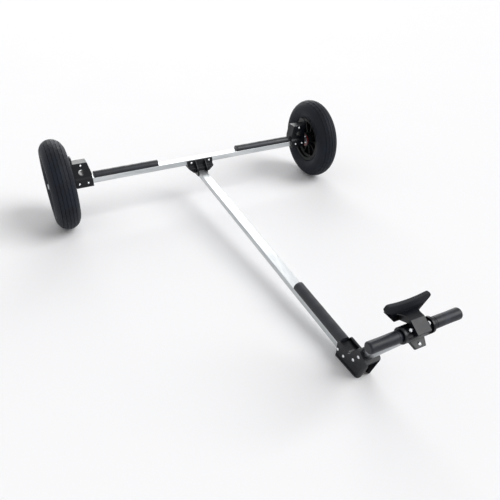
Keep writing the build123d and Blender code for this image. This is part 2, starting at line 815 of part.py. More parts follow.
for side, name in sides:
    with BuildPart() as knuckle:
        block(elbow_side, side * tube_width / 2, side * cheek_outer, cheek_points, cheek_rounds)
        # Skid foot: the cheek's lower edge, thicker to both sides.
        block(
            elbow_side,
            side * (tube_width / 2 - foot_inset),
            side * (cheek_outer + foot_flange),
            foot_points,
            foot_rounds,
        )
        # Collar band around the stem's mouth.
        block(
            stem_side,
            side * cheek_outer,
            side * (cheek_outer + knuckle_rim),
            [
                (band_start, knuckle_rim - mouth_half),
                (knuckle_mouth, knuckle_rim - mouth_half),
                (knuckle_mouth, knuckle_chin - knuckle_rim),
                (band_start, knuckle_chin - knuckle_rim),
            ],
            [knuckle_rim, knuckle_round - knuckle_rim, knuckle_round - knuckle_rim, knuckle_rim],
        )
        # Sleeve around the stem and web over the tongue, up to the other half, with a
        # hollow between them.
        block(
            stem_side,
            side * knuckle_split / 2,
            side * tube_width / 2,
            [
                (stem_end_gap, -sleeve_back),
                (knuckle_mouth, -sleeve_back),
                (knuckle_mouth, knuckle_chin - knuckle_step),
                (stem_end_gap, knuckle_chin - knuckle_step),
            ],
            [0, knuckle_step, knuckle_step, 0],
        )
        block(
            tongue_side,
            side * knuckle_split / 2,
            side * tube_width / 2,
            [
                (0, tube_height / 2),
                (knuckle_back, tube_height / 2),
                (knuckle_back, web_top),
                (0, web_top),
            ],
            [0, 0, edge_round, 0],
        )
        block(
            tongue_side,
            side * knuckle_split / 2,
            side * tube_width / 2,
            hollow_points,
            [0, 0, knuckle_hollow, 0, 0, 0],
        )
        # Seen along the front edge, the front corners are well rounded.
        block(
            along_front,
            -2 * knuckle_back,
            2 * knuckle_mouth,
            [
                (side * knuckle_split / 2, 0),
                (side * (cheek_outer + foot_flange), 0),
                (side * (cheek_outer + foot_flange), 2 * knuckle_reach),
                (side * knuckle_split / 2, 2 * knuckle_reach),
            ],
            [0, knuckle_front_round, 0, 0],
            mode=Mode.INTERSECT,
        )
        ring(
            across_stem,
            0,
            2 * knuckle_mouth,
            stem_diameter / 2 + socket_gap,
            mode=Mode.SUBTRACT,
        )
        bolt_holes(tongue_side, tongue_bolt_places, -2 * cheek_outer, 2 * cheek_outer)
        bolt_holes(stem_side, stem_bolt_places, -2 * cheek_outer, 2 * cheek_outer)
    write(knuckle.part, f"knuckle_{name}")

with BuildPart() as knuckle_bolts:
    for plane, places in ((tongue_side, tongue_bolt_places), (stem_side, stem_bolt_places)):
        left_face = Plane(plane.origin, x_dir=plane.x_dir, z_dir=(-1, 0, 0)).offset(cheek_outer)
        bolts(left_face, places, 2 * cheek_outer)
write(knuckle_bolts.part, "knuckle_bolts")

# ------------------------------------------------------------------ stem and handle
stem_top = stem_length - handle_diameter / 2 - socket_gap - stem_head_gap
with BuildPart() as stem_tube:
    ring(across_stem, stem_end_gap, stem_top, stem_diameter / 2, stem_diameter / 2 - tube_wall)
    bolt_holes(stem_side, stem_bolt_places, -stem_diameter, stem_diameter)
write(stem_tube.part, "stem_tube")

with BuildPart() as handle_tube:
    ring(
        across_handle,
        -handle_half_length,
        handle_half_length,
        handle_diameter / 2,
        handle_diameter / 2 - tube_wall,
    )
write(handle_tube.part, "handle_tube")

for side, name in sides:
    with BuildPart() as grip:
        ring(across_handle, side * grip_start, side * grip_end, grip_radius)
        fillet(grip.faces().sort_by(Axis.X)[-1 if side > 0 else 0].edges(), grip_round)
        ring(
            across_handle,
            side * grip_start,
            side * (handle_half_length + socket_gap),
            handle_diameter / 2 + socket_gap,
            mode=Mode.SUBTRACT,
        )
    write(grip.part, f"grip_{name}")

# ------------------------------------------------------------------ handle head
boss_half_width = saddle_half_width - saddle_cheek - boss_fit
boss_top = saddle_top - saddle_plate
lip_start = collar_half_length - collar_lip
saddle_bolt_place = (saddle_bolt_height, -saddle_bolt_back)
with BuildPart() as handle_head:
    ring(across_handle, -collar_half_length, collar_half_length, collar_radius)
    fillet(handle_head.faces().filter_by(GeomType.PLANE).edges(), head_round)
    # Above the handle's axis only the end lips stay full round, with a barrel between.
    block(
        across_head,
        0,
        2 * collar_radius,
        [
            (-lip_start, -collar_radius),
            (lip_start, -collar_radius),
            (lip_start, collar_radius),
            (-lip_start, collar_radius),
        ],
        [0, 0, 0, 0],
        mode=Mode.SUBTRACT,
    )
    ring(across_handle, -lip_start, lip_start, collar_body_radius)
    ring(across_head, -head_socket_length, 0, head_socket_radius)
    # Boss that stands up inside the saddle's bracket.
    block(
        head_side,
        -boss_half_width,
        boss_half_width,
        [(0, boss_front), (boss_top, boss_front), (boss_top, -boss_back), (0, -boss_back)],
        [0, head_round, head_round, 0],
    )
    # Ear in front of the collar.
    block(
        across_head,
        -ear_drop - ear_thickness,
        -ear_drop,
        [
            (-ear_root_half_width, 0),
            (-ear_root_half_width, -ear_root),
            (-ear_tip_half_width, -ear_reach),
            (ear_tip_half_width, -ear_reach),
            (ear_root_half_width, -ear_root),
            (ear_root_half_width, 0),
        ],
        [0, ear_round, ear_round, ear_round, ear_round, 0],
    )
    ring(
        across_handle,
        -2 * collar_half_length,
        2 * collar_half_length,
        handle_diameter / 2 + socket_gap,
        mode=Mode.SUBTRACT,
    )
    ring(
        across_head,
        -2 * head_socket_length,
        -handle_diameter / 2 - stem_head_gap,
        stem_diameter / 2 + socket_gap,
        mode=Mode.SUBTRACT,
    )
    bolt_holes(across_head, [(0, -ear_bolt_reach)], -ear_drop - 2 * ear_thickness, 0)
    bolt_holes(head_side, [saddle_bolt_place], -saddle_half_width, saddle_half_width)
write(handle_head.part, "handle_head")

with BuildPart() as head_bolts:
    bolts(across_head.offset(-ear_drop), [(0, -ear_bolt_reach)], ear_thickness)
    bolts(
        Plane(head_side.origin, x_dir=head_side.x_dir, z_dir=(-1, 0, 0)).offset(saddle_bolt_seat),
        [(saddle_bolt_height, saddle_bolt_back)],
        2 * saddle_bolt_seat,
    )
write(head_bolts.part, "head_bolts")

# ------------------------------------------------------------------ bow saddle
shelf_bottom = shelf_height - shelf_thickness
bracket_foot = collar_body_radius + saddle_clear
bend_above = (shelf_height - saddle_top * stem_sin) / stem_cos
bend_below = (shelf_bottom - boss_top * stem_sin) / stem_cos
shelf_back_out = shelf_back * stem_sin + shelf_height * stem_cos
web_back = web_start + web_thickness
with BuildPart() as saddle_bracket:
    # Face plate up the head, bent back level as the shelf that the pad stands on.
    block(
        across_handle,
        -shelf_half_width,
        shelf_half_width,
        [
            along_stem(saddle_top, -saddle_front),
            along_stem(saddle_top, bend_above),
            (shelf_back, shelf_height),
            (shelf_back, shelf_bottom),
            along_stem(boss_top, bend_below),
            along_stem(boss_top, -saddle_front),
        ],
        [edge_round, saddle_bend, 0, 0, saddle_bend - shelf_thickness, edge_round],
    )
    # Along the stem, the plate is narrow and the shelf flares out to both sides.
    block(
        across_head,
        -shelf_back,
        2 * saddle_top,
        [
            (-saddle_half_width, -saddle_front),
            (saddle_half_width, -saddle_front),
            (saddle_half_width, shelf_flare_start),
            (shelf_half_width, shelf_flare_end),
            (shelf_half_width, shelf_back_out),
            (-shelf_half_width, shelf_back_out),
            (-shelf_half_width, shelf_flare_end),
            (-saddle_half_width, shelf_flare_start),
        ],
        [saddle_corner, saddle_corner, shelf_flare_round, 0, 0, 0, 0, shelf_flare_round],
        mode=Mode.INTERSECT,
    )
    # Cheek down each side of the head's boss and back to the web, with the bolt's stand-off.
    for end in (-1, 1):
        block(
            across_handle,
            end * (saddle_half_width - saddle_cheek),
            end * saddle_half_width,
            [
                along_stem(saddle_top - edge_round, -saddle_front + edge_round),
                along_stem(saddle_top - edge_round, bend_above),
                (web_start, shelf_height - edge_round),
                (web_back, shelf_height - edge_round),
                (web_back, web_foot),
                along_stem(bracket_foot, saddle_front),
                along_stem(bracket_foot, -saddle_front + edge_round),
            ],
            [0, 0, 0, 0, 0, saddle_corner, saddle_corner],
        )
        with BuildSketch(head_side.offset(end * (saddle_half_width - saddle_cheek))) as stand_off:
            with Locations(saddle_bolt_place):
                Circle(saddle_bolt_seat_radius)
        extrude(stand_off.sketch, amount=end * (saddle_bolt_seat - saddle_half_width + saddle_cheek))
    # Web under the shelf that spreads up to the tips of the pad.
    block(
        saddle_view,
        -web_back,
        -web_start,
        [
            (web_foot_half_width, web_foot),
            (web_tip_half_width, web_tip_bottom),
            (web_tip_half_width, pad_tip_bottom - 2 * pad_gap),
            (pad_flat, shelf_height - 2 * pad_gap),
            (-pad_flat, shelf_height - 2 * pad_gap),
            (-web_tip_half_width, pad_tip_bottom - 2 * pad_gap),
            (-web_tip_half_width, web_tip_bottom),
            (-web_foot_half_width, web_foot),
        ],
        [edge_round, web_round, web_round, 0, 0, web_round, web_round, edge_round],
    )
    # Low lip along the pad's foot.
    block(
        across_handle,
        -pad_flat,
        pad_flat,
        [
            (pad_start - lip_thickness, shelf_bottom),
            (pad_start, shelf_bottom),
            (pad_start, shelf_height + lip_height),
            (pad_start - lip_thickness, shelf_height + lip_height),
        ],
        [0, 0, 0, 0],
    )
    bolt_holes(head_side, [saddle_bolt_place], -saddle_bolt_seat, saddle_bolt_seat)
write(saddle_bracket.part, "saddle_bracket")

with BuildPart() as saddle_pad:
    with BuildSketch(saddle_view.offset(-pad_start)):
        with BuildLine():
            ThreePointArc(
                (-pad_tip_top_half_width, pad_tip_top),
                (0, pad_middle_top),
                (pad_tip_top_half_width, pad_tip_top),
            )
            Polyline(
                (pad_tip_top_half_width, pad_tip_top),
                (pad_half_width, pad_widest),
                (pad_tip_bottom_half_width, pad_tip_bottom),
                (pad_flat, shelf_height),
                (-pad_flat, shelf_height),
                (-pad_tip_bottom_half_width, pad_tip_bottom),
                (-pad_half_width, pad_widest),
                (-pad_tip_top_half_width, pad_tip_top),
            )
        make_face()
    extrude(amount=-pad_depth)
    tip_start = (pad_flat + pad_tip_bottom_half_width) / 2
    tips = saddle_pad.edges().filter_by(Axis.Y).filter_by(lambda edge: abs(edge.center().X) > tip_start)
    fillet(tips, pad_corner)
    faces = saddle_pad.faces().filter_by(Axis.Y)
    upper = faces.edges().filter_by(lambda edge: edge.center().Z > handle_z + pad_tip_bottom)
    fillet(upper, pad_round)
write(saddle_pad.part, "saddle_pad")
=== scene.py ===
"""Finish of the dinghy dolly: rubber, fasteners, materials and a studio around the CAD model.

Lengths are in metres and the frame is the CAD model's own: X along the axle, -Y towards
the handle, Z up from the floor.
"""

import math

import bpy
import numpy as np
from bpy.props import FloatProperty, FloatVectorProperty, IntProperty, PointerProperty
from mathutils import Euler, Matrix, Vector


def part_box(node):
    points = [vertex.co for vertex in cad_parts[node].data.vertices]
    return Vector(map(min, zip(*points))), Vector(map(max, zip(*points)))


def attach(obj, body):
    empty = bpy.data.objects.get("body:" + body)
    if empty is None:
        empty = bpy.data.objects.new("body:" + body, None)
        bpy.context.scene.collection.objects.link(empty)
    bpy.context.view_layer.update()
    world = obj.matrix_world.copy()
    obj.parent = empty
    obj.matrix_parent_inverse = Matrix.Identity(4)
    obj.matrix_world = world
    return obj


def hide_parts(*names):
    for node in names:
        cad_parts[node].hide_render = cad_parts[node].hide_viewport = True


bl_info = {
    "name": "Dinghy dolly finish",
    "version": (1, 0, 0),
    "blender": (4, 5, 0),
    "location": "3D View > Sidebar > Dolly",
    "description": "Dresses the CAD model of a dinghy launching dolly and lights it in a studio",
    "category": "Object",
}

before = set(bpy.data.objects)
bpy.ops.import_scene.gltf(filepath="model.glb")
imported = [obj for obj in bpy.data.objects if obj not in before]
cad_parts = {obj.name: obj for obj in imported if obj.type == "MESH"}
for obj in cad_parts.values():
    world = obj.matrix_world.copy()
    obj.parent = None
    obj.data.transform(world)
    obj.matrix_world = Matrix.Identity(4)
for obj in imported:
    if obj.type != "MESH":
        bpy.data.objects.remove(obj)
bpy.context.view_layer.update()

SIDES = ("left", "right")

# Places of a colour Mix node's factor, two colours and result among its sockets.
MIX_FACTOR, MIX_A, MIX_B, MIX_RESULT = 0, 6, 7, 2

# Points that agree to this many decimals of a metre are one point.
POINT_DECIMALS = 6

# A face with more corners than this is a flat cap.
SMOOTH_CORNERS = 4


# ------------------------------------------------------------------ settings
def linear(code):
    """Linear RGBA of an sRGB hex colour."""
    channels = np.array([int(code[k : k + 2], 16) for k in (1, 3, 5)]) / 255
    light = np.where(channels <= 0.04045, channels / 12.92, ((channels + 0.055) / 1.055) ** 2.4)
    return (*light.tolist(), 1.0)


def colour(name, code, description):
    """A colour setting with an sRGB hex default."""
    return FloatVectorProperty(
        name=name,
        description=description,
        subtype="COLOR",
        size=4,
        min=0,
        max=1,
        default=linear(code),
    )


def length(name, millimetres, description):
    """A length setting, given in millimetres."""
    return FloatProperty(
        name=name,
        description=description,
        default=millimetres / 1000,
        min=0,
        unit="LENGTH",
        precision=4,
    )


def angle(name, degrees, description):
    """An angle setting, given in degrees."""
    return FloatProperty(
        name=name, description=description, default=math.radians(degrees), unit="ROTATION"
    )


def strength(name, default, description):
    """A light's strength setting."""
    return FloatProperty(name=name, description=description, default=default, min=0)


class DollyColours(bpy.types.PropertyGroup):
    """Colours of the dolly's materials"""

    aluminium: colour("Aluminium", "#CDD0D1", "Drawn aluminium of the beam, tongue and handle")
    aluminium_dull: colour("Dull aluminium", "#A9ADB0", "Where the aluminium has oxidised")
    stem: colour("Stem", "#AAADB0", "Anodised aluminium of the round stem")
    # The blue cast of the moulding, worn moulding, tyre, strip, bloom, grip and pad colours is
    # painted reflection, standing in for the bluish sky these near-black surfaces reflect.
    moulding: colour("Moulding", "#070A10", "Glass-filled nylon of the brackets and joints")
    moulding_worn: colour("Worn moulding", "#171B22", "Where the nylon is scuffed")
    rim: colour("Rim", "#0E1012", "Moulded polypropylene rim")
    hub: colour("Hub", "#5E0C18", "Red acetal hub bush")
    tyre: colour("Tyre", "#080C13", "Vulcanised tyre rubber")
    dust: colour("Dust", "#3C4350", "Dry dust held in the rubber")
    strip: colour("Strip", "#0E1218", "Extruded rubber strips")
    bloom: colour("Bloom", "#151B26", "Where rubber has greyed")
    grip: colour("Grip", "#0C1018", "Dipped handle grips")
    pad: colour("Pad", "#0E1116", "Closed-cell foam of the bow pad")
    stainless: colour("Stainless", "#E4E6E8", "Polished stainless bolts")
    zinc: colour("Zinc", "#B4B7BB", "Zinc-plated axle parts")


class DollySizes(bpy.types.PropertyGroup):
    """Sizes of the pieces that stand in for plain CAD solids"""

    tyre_wall: length("Tyre wall", 5, "Thickness of the tyre's wall")
    bead_half_width: length("Bead half width", 33, "Middle of the tyre to the outside of its bead")
    bead_radius: length("Bead radius", 101.6, "Inside of the bead, for an 8 inch rim")
    flange_radius: length("Flange radius", 112, "Where the tyre's flank leaves the rim's flange")
    bead_thickness: length("Bead thickness", 9, "Width of the bead on the rim")
    groove_count: IntProperty(
        name="Grooves", description="Grooves around the tread", default=5, min=2
    )
    groove_pitch: length("Groove pitch", 15, "Between two grooves")
    groove_top: length("Groove top", 3.4, "Width of a groove at the surface")
    groove_floor: length("Groove floor", 2.0, "Width of a groove at its floor")
    groove_depth: length("Groove depth", 1.8, "Depth of a groove")
    groove_wave: length("Groove wave", 0.8, "Sideways zigzag of a groove")
    strip_end: length("Strip end", 1.5, "Rounding at the cut ends of a strip")
    strip_groove: length("Strip groove", 0.7, "Depth of the groove along each flank of a strip")
    grip_bore: length("Grip bore", 12.6, "Radius inside a grip")
    grip_plug: length("Grip plug", 5.9, "Thickness of the closed end of a grip")
    grip_round: length("Grip round", 5, "Rounding of the closed end of a grip")
    grip_ring: length("Grip ring", 10, "Ring groove from a grip's open end")
    grip_groove: length("Grip groove", 0.9, "Depth of the ring near a grip's open end")
    pad_round: length("Pad round", 3.5, "Rounding of the pad's edges")
    head_height: length("Head height", 3.4, "Height of a button head")
    socket_radius: length("Socket", 2.2, "Half the key size of a bolt's hexagon socket")
    nut_height: length("Nut height", 5, "Height of a nut")
    nut_offset: length("Nut offset", 1.5, "Thread that shows beyond a nut")


class DollyStage(bpy.types.PropertyGroup):
    """Light, floor and camera"""

    floor: colour("Floor", "#FCFCFD", "Pale floor")
    sky: strength("Sky", 0.45, "Even light from all around")
    back: strength("Back light", 1.4, "Strength of the low light from behind")
    key: strength("Key light", 1.8, "Strength of the light from the right")
    eye_back: length("Eye back", 2173.0, "Camera to the axle, level and square to it")
    eye_left: length("Eye left", 812.6, "Camera to the left of the dolly's middle")
    eye_height: length("Eye height", 1182.7, "Camera above the floor")
    turn: angle("Turn", -26.91, "Camera's heading")
    tilt: angle("Tilt", 33.29, "Camera's dip")
    roll: angle("Roll", 0.44, "Camera's roll")
    lens: FloatProperty(
        name="Lens", description="Focal length on a 36 mm sensor", default=36.12, unit="CAMERA"
    )


# ------------------------------------------------------------------ meshes
def shell(along, out, centre, axis, side):
    """Grid of points around an axis: row k lies `along` the axis and `out` from it.

    Point = centre + axis * along + (side * cos t + (axis x side) * sin t) * out, where t
    runs once round the axis in equal steps.  Both lengths may vary with t.
    """
    along, out = np.broadcast_arrays(along, out)
    turn = np.linspace(0, 2 * math.pi, out.shape[1], endpoint=False)
    axis, side = np.array(axis), np.array(side)
    round_axis = np.outer(np.cos(turn), side) + np.outer(np.sin(turn), np.cross(axis, side))
    return np.array(centre) + along[..., None] * axis + out[..., None] * round_axis


def skin(points, ring_rows=False):
    """Vertices and outward faces of a grid that is closed across its columns.

    Its rows close on each other too, or its first and last rows are capped.
    """
    rows, columns = points.shape[:2]
    bands = rows if ring_rows else rows - 1
    i, j = np.meshgrid(np.arange(bands), np.arange(columns), indexing="ij")
    down, over = (i + 1) % rows, (j + 1) % columns
    corners = [i * columns + j, down * columns + j, down * columns + over, i * columns + over]
    quads = np.stack(corners, -1).reshape(-1, 4)
    flat = points.reshape(-1, 3)
    caps = []
    if not ring_rows:
        edge = np.arange(columns)
        caps = [edge, (edge + (rows - 1) * columns)[::-1]]
    fans = [np.stack([np.full(len(c) - 2, c[0]), c[1:-1], c[2:]], -1) for c in caps]
    triangles = np.concatenate([quads[:, [0, 1, 2]], quads[:, [0, 2, 3]], *fans])
    a, b, c = (flat[triangles[:, k]] - flat.mean(0) for k in range(3))
    faces = quads.tolist() + [cap.tolist() for cap in caps]
    if (a * np.cross(b, c)).sum() < 0:
        faces = [face[::-1] for face in faces]
    return flat, faces


def piece(name, skins, material, body, replaced, crease=40, dust=None):
    """One object made of the skins, riding on its body in place of the replaced CAD nodes.

    `crease` is the angle in degrees above which an edge stays sharp, and `dust` is how much
    dust each point holds.
    """
    vertices, faces = [], []
    for points, rings in skins:
        start = sum(len(v) for v in vertices)
        vertices.append(points)
        faces += [[k + start for k in ring] for ring in rings]
    mesh = bpy.data.meshes.new(name)
    mesh.from_pydata(np.concatenate(vertices).tolist(), [], faces)
    mesh.shade_smooth()
    mesh.set_sharp_from_angle(angle=math.radians(crease))
    corners = np.empty(len(mesh.polygons), np.int64)
    mesh.polygons.foreach_get("loop_total", corners)
    mesh.polygons.foreach_set("use_smooth", corners <= SMOOTH_CORNERS)
    mesh.materials.append(material)
    if dust is not None:
        held = mesh.attributes.new("dust", "FLOAT", "POINT")
        held.data.foreach_set("value", np.asarray(dust, np.float32).ravel())
    made = bpy.data.objects.new(name, mesh)
    bpy.context.scene.collection.objects.link(made)
    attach(made, body)
    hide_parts(*replaced)
    return made


def node_points(name):
    """A CAD node's different points, and its edges between them."""
    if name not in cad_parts:
        raise RuntimeError(f"the model has no {name}")
    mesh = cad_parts[name].data
    places = np.empty(len(mesh.vertices) * 3)
    mesh.vertices.foreach_get("co", places)
    edges = np.empty(len(mesh.edges) * 2, np.int64)
    mesh.edges.foreach_get("vertices", edges)
    places, index = np.unique(
        places.reshape(-1, 3).round(POINT_DECIMALS), axis=0, return_inverse=True
    )
    return places, index.ravel()[edges.reshape(-1, 2)]


def solids(name):
    """The points of each separate solid of a CAD node.

    Every point takes the lowest number among its neighbours until none changes.
    """
    places, edges = node_points(name)
    label = np.arange(len(places))
    changed = True
    while changed:
        before = label.copy()
        lowest = label[edges].min(1)
        np.minimum.at(label, edges[:, 0], lowest)
        np.minimum.at(label, edges[:, 1], lowest)
        label = label[label]
        changed = not np.array_equal(before, label)
    return [places[label == k] for k in np.unique(label)]


def long_axis(points):
    """Direction in which the points reach furthest."""
    return np.linalg.svd(points - points.mean(0), full_matrices=False)[2][0]


def drawn_ends(radius, steps, middle, span):
    """Distances of a section's rows along its piece, and how far it is drawn in at each row.

    Both ends are quarter circles: at radius * (1 - cos t) from the end the section is drawn
    in by radius * (1 - sin t), with t from nothing to a right angle in even steps.
    """
    quarter = np.linspace(0, math.pi / 2, steps)
    near, drawn = radius * (1 - np.cos(quarter)), radius * (1 - np.sin(quarter))
    rows = np.concatenate([near, middle, span - near[::-1]])
    inset = np.concatenate([drawn, np.zeros(len(middle)), drawn[::-1]])
    return rows, inset


# ------------------------------------------------------------------ materials
def add(tree, kind, settings, links=None):
    """Add a node, fill in its properties and inputs, and link the sockets that feed it."""
    node = tree.nodes.new(kind)
    for key, value in settings.items():
        if key == "stops":
            for stop, (position, level) in zip(node.color_ramp.elements, value):
                stop.position = position
                stop.color = (level, level, level, 1)
        elif isinstance(key, str) and key in node.bl_rna.properties:
            setattr(node, key, value)
        else:
            node.inputs[key].default_value = value
    for key, socket in (links or {}).items():
        tree.links.new(socket, node.inputs[key])
    return node


def even(size):
    """The same size along all three axes."""
    return (size, size, size)


def finish(
    name,
    base,
    worn,
    gloss,
    cell,
    relief,
    patch,
    wear=(0.5, 0.75),
    metallic=0.0,
    sheen=0.5,
    turn=0.0,
    dust=None,
):
    """A material whose grain and wear follow the object.

    The grain's cells are `cell` in size along the pattern's three axes and `relief` high.
    Patches of size `patch` drift from the base colour to the worn one, between the two
    levels of `wear`.  Grain and patches together move the roughness between the two values
    of `gloss`.  `sheen` is the strength of the mirror reflection, 0.5 for clean plastic or
    metal.  `turn` tips the pattern about X to follow a sloping tube.  `dust` is the colour
    that the mesh's dust attribute mixes in.
    """
    material = bpy.data.materials.new(name)
    material.use_nodes = True
    tree = material.node_tree
    tree.nodes.clear()
    place = add(tree, "ShaderNodeTexCoord", {}).outputs["Object"]
    grain_place = add(
        tree,
        "ShaderNodeMapping",
        {"vector_type": "TEXTURE", "Rotation": (turn, 0, 0), "Scale": cell},
        {"Vector": place},
    )
    patch_place = add(
        tree,
        "ShaderNodeMapping",
        {"vector_type": "TEXTURE", "Rotation": (turn, 0, 0), "Scale": patch},
        {"Vector": place},
    )
    grain = add(
        tree,
        "ShaderNodeTexNoise",
        {"Scale": 1.0, "Detail": 3.0, "Roughness": 0.6},
        {"Vector": grain_place.outputs["Vector"]},
    )
    cloud = add(
        tree,
        "ShaderNodeTexNoise",
        {"Scale": 1.0, "Detail": 5.0, "Roughness": 0.65, "Distortion": 0.4},
        {"Vector": patch_place.outputs["Vector"]},
    )
    worn_there = add(
        tree,
        "ShaderNodeValToRGB",
        {"stops": ((wear[0], 0.0), (wear[1], 1.0))},
        {"Fac": cloud.outputs["Fac"]},
    )
    tone = add(
        tree,
        "ShaderNodeMix",
        {"data_type": "RGBA", MIX_A: base, MIX_B: worn},
        {MIX_FACTOR: worn_there.outputs["Color"]},
    ).outputs[MIX_RESULT]
    if dust is not None:
        held = add(tree, "ShaderNodeAttribute", {"attribute_name": "dust"})
        broken = add(
            tree,
            "ShaderNodeMath",
            {"operation": "MULTIPLY"},
            {0: held.outputs["Fac"], 1: cloud.outputs["Fac"]},
        )
        tone = add(
            tree,
            "ShaderNodeMix",
            {"data_type": "RGBA", MIX_B: dust},
            {MIX_FACTOR: broken.outputs["Value"], MIX_A: tone},
        ).outputs[MIX_RESULT]
    both = add(
        tree,
        "ShaderNodeMath",
        {"operation": "ADD"},
        {0: grain.outputs["Fac"], 1: cloud.outputs["Fac"]},
    )
    roughness = add(
        tree,
        "ShaderNodeMapRange",
        {"From Min": 0.75, "From Max": 1.25, "To Min": gloss[0], "To Max": gloss[1]},
        {"Value": both.outputs["Value"]},
    )
    bump = add(
        tree,
        "ShaderNodeBump",
        {"Strength": 1.0, "Distance": relief},
        {"Height": grain.outputs["Fac"]},
    )
    shader = add(
        tree,
        "ShaderNodeBsdfPrincipled",
        {"Metallic": metallic, "Specular IOR Level": sheen},
        {
            "Base Color": tone,
            "Roughness": roughness.outputs["Result"],
            "Normal": bump.outputs["Normal"],
        },
    )
    add(tree, "ShaderNodeOutputMaterial", {}, {"Surface": shader.outputs["BSDF"]})
    return material


def dress(material, *names):
    """Give CAD nodes a better material."""
    for name in names:
        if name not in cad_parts:
            raise RuntimeError(f"the model has no {name}")
        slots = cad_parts[name].data.materials
        for k in range(len(slots)):
            slots[k] = material


def both_sides(*names):
    """Each name with _left and _right."""
    return [f"{name}_{side}" for name in names for side in SIDES]


# ------------------------------------------------------------------ operators
class DOLLY_OT_tubes(bpy.types.Operator):
    """Give the aluminium tubes their drawn finish"""

    bl_idname = "dolly.tubes"
    bl_label = "Tubes"

    def execute(self, context):
        colours = context.scene.dolly_colours
        # Aluminium drawn through a die: long faint streaks along the tube and a soft sheen,
        # with duller patches where it has oxidised.  The streaks are drawn 1.5 mm wide, as
        # real die lines are too fine to show.
        streak, long_streak, short_streak = 0.0015, 0.4, 0.2
        least_patch = 0.03
        for name, label, base, cell in (
            (
                "axle_beam",
                "drawn aluminium beam",
                colours.aluminium,
                (long_streak, streak, streak),
            ),
            (
                "handle_tube",
                "drawn aluminium handle",
                colours.aluminium,
                (short_streak, streak, streak),
            ),
            (
                "tongue_tube",
                "drawn aluminium tongue",
                colours.aluminium,
                (streak, long_streak, streak),
            ),
            (
                "stem_tube",
                "drawn aluminium stem, anodised",
                colours.stem,
                (streak, short_streak, streak),
            ),
        ):
            direction = long_axis(node_points(name)[0])
            direction = direction if direction[1] > 0 else -direction
            slope = math.atan2(direction[2], direction[1]) if cell[1] > cell[0] else 0.0
            metal = finish(
                label,
                base=base,
                worn=colours.aluminium_dull,
                gloss=(0.3, 0.46),
                cell=cell,
                relief=0.00006,
                patch=tuple(max(size / 2, least_patch) for size in cell),
                wear=(0.45, 0.8),
                metallic=1.0,
                turn=slope,
            )
            dress(metal, name)
        return {"FINISHED"}


class DOLLY_OT_mouldings(bpy.types.Operator):
    """Give the moulded brackets, joints and rims their plastics"""

    bl_idname = "dolly.mouldings"
    bl_label = "Mouldings"

    def execute(self, context):
        colours = context.scene.dolly_colours
        # Glass-filled nylon from a spark-eroded mould: deep black with a satin grain that
        # breaks up its highlights, greyer where it is scuffed.  The grain is drawn 1.2 mm
        # wide, as the real one is too fine to show.
        nylon = finish(
            "black glass-filled nylon, injection moulded",
            base=colours.moulding,
            worn=colours.moulding_worn,
            gloss=(0.24, 0.4),
            cell=even(0.0012),
            relief=0.00006,
            patch=even(0.035),
            wear=(0.55, 0.8),
            sheen=0.3,
        )
        dress(nylon, "tee_connector", "handle_head", "saddle_bracket", "tongue_plug")
        dress(nylon, *both_sides("end_bracket", "knuckle"))
        # Polypropylene: waxier and more even than the nylon.
        polypropylene = finish(
            "black polypropylene rim, injection moulded",
            base=colours.rim,
            worn=colours.moulding_worn,
            gloss=(0.38, 0.55),
            cell=even(0.002),
            relief=0.00006,
            patch=even(0.05),
            wear=(0.55, 0.85),
            sheen=0.25,
        )
        dress(polypropylene, *both_sides("rim"))
        # Acetal turned on a lathe: a clean waxy red, a little darker in patches.
        darker = 0.6
        acetal = finish(
            "red acetal bush, turned",
            base=colours.hub,
            worn=(*(darker * level for level in colours.hub[:3]), 1.0),
            gloss=(0.28, 0.42),
            cell=(0.004, 0.0008, 0.0008),
            relief=0.00004,
            patch=even(0.02),
        )
        dress(acetal, *both_sides("hub_bush"))
        return {"FINISHED"}


class DOLLY_OT_axles(bpy.types.Operator):
    """Give the stub axles and bearings their steels"""

    bl_idname = "dolly.axles"
    bl_label = "Axles"

    def execute(self, context):
        colours = context.scene.dolly_colours
        # Zinc plate over turned steel: bright, with a fine mottle and a little white rust.
        zinc = finish(
            "zinc-plated steel, turned",
            base=colours.zinc,
            worn=colours.aluminium_dull,
            gloss=(0.25, 0.42),
            cell=(0.006, 0.0008, 0.0008),
            relief=0.00004,
            patch=even(0.012),
            metallic=1.0,
        )
        dress(zinc, *both_sides("stub_axle", "axle_spacer", "axle_washer", "axle_cap"))
        # Hardened bearing steel, ground: smoother and darker than the plated parts.
        ground = finish(
            "bearing steel, ground",
            base=colours.aluminium_dull,
            worn=colours.zinc,
            gloss=(0.15, 0.28),
            cell=(0.003, 0.0006, 0.0006),
            relief=0.00002,
            patch=even(0.01),
            metallic=1.0,
        )
        dress(ground, *both_sides("bearings"))
        return {"FINISHED"}


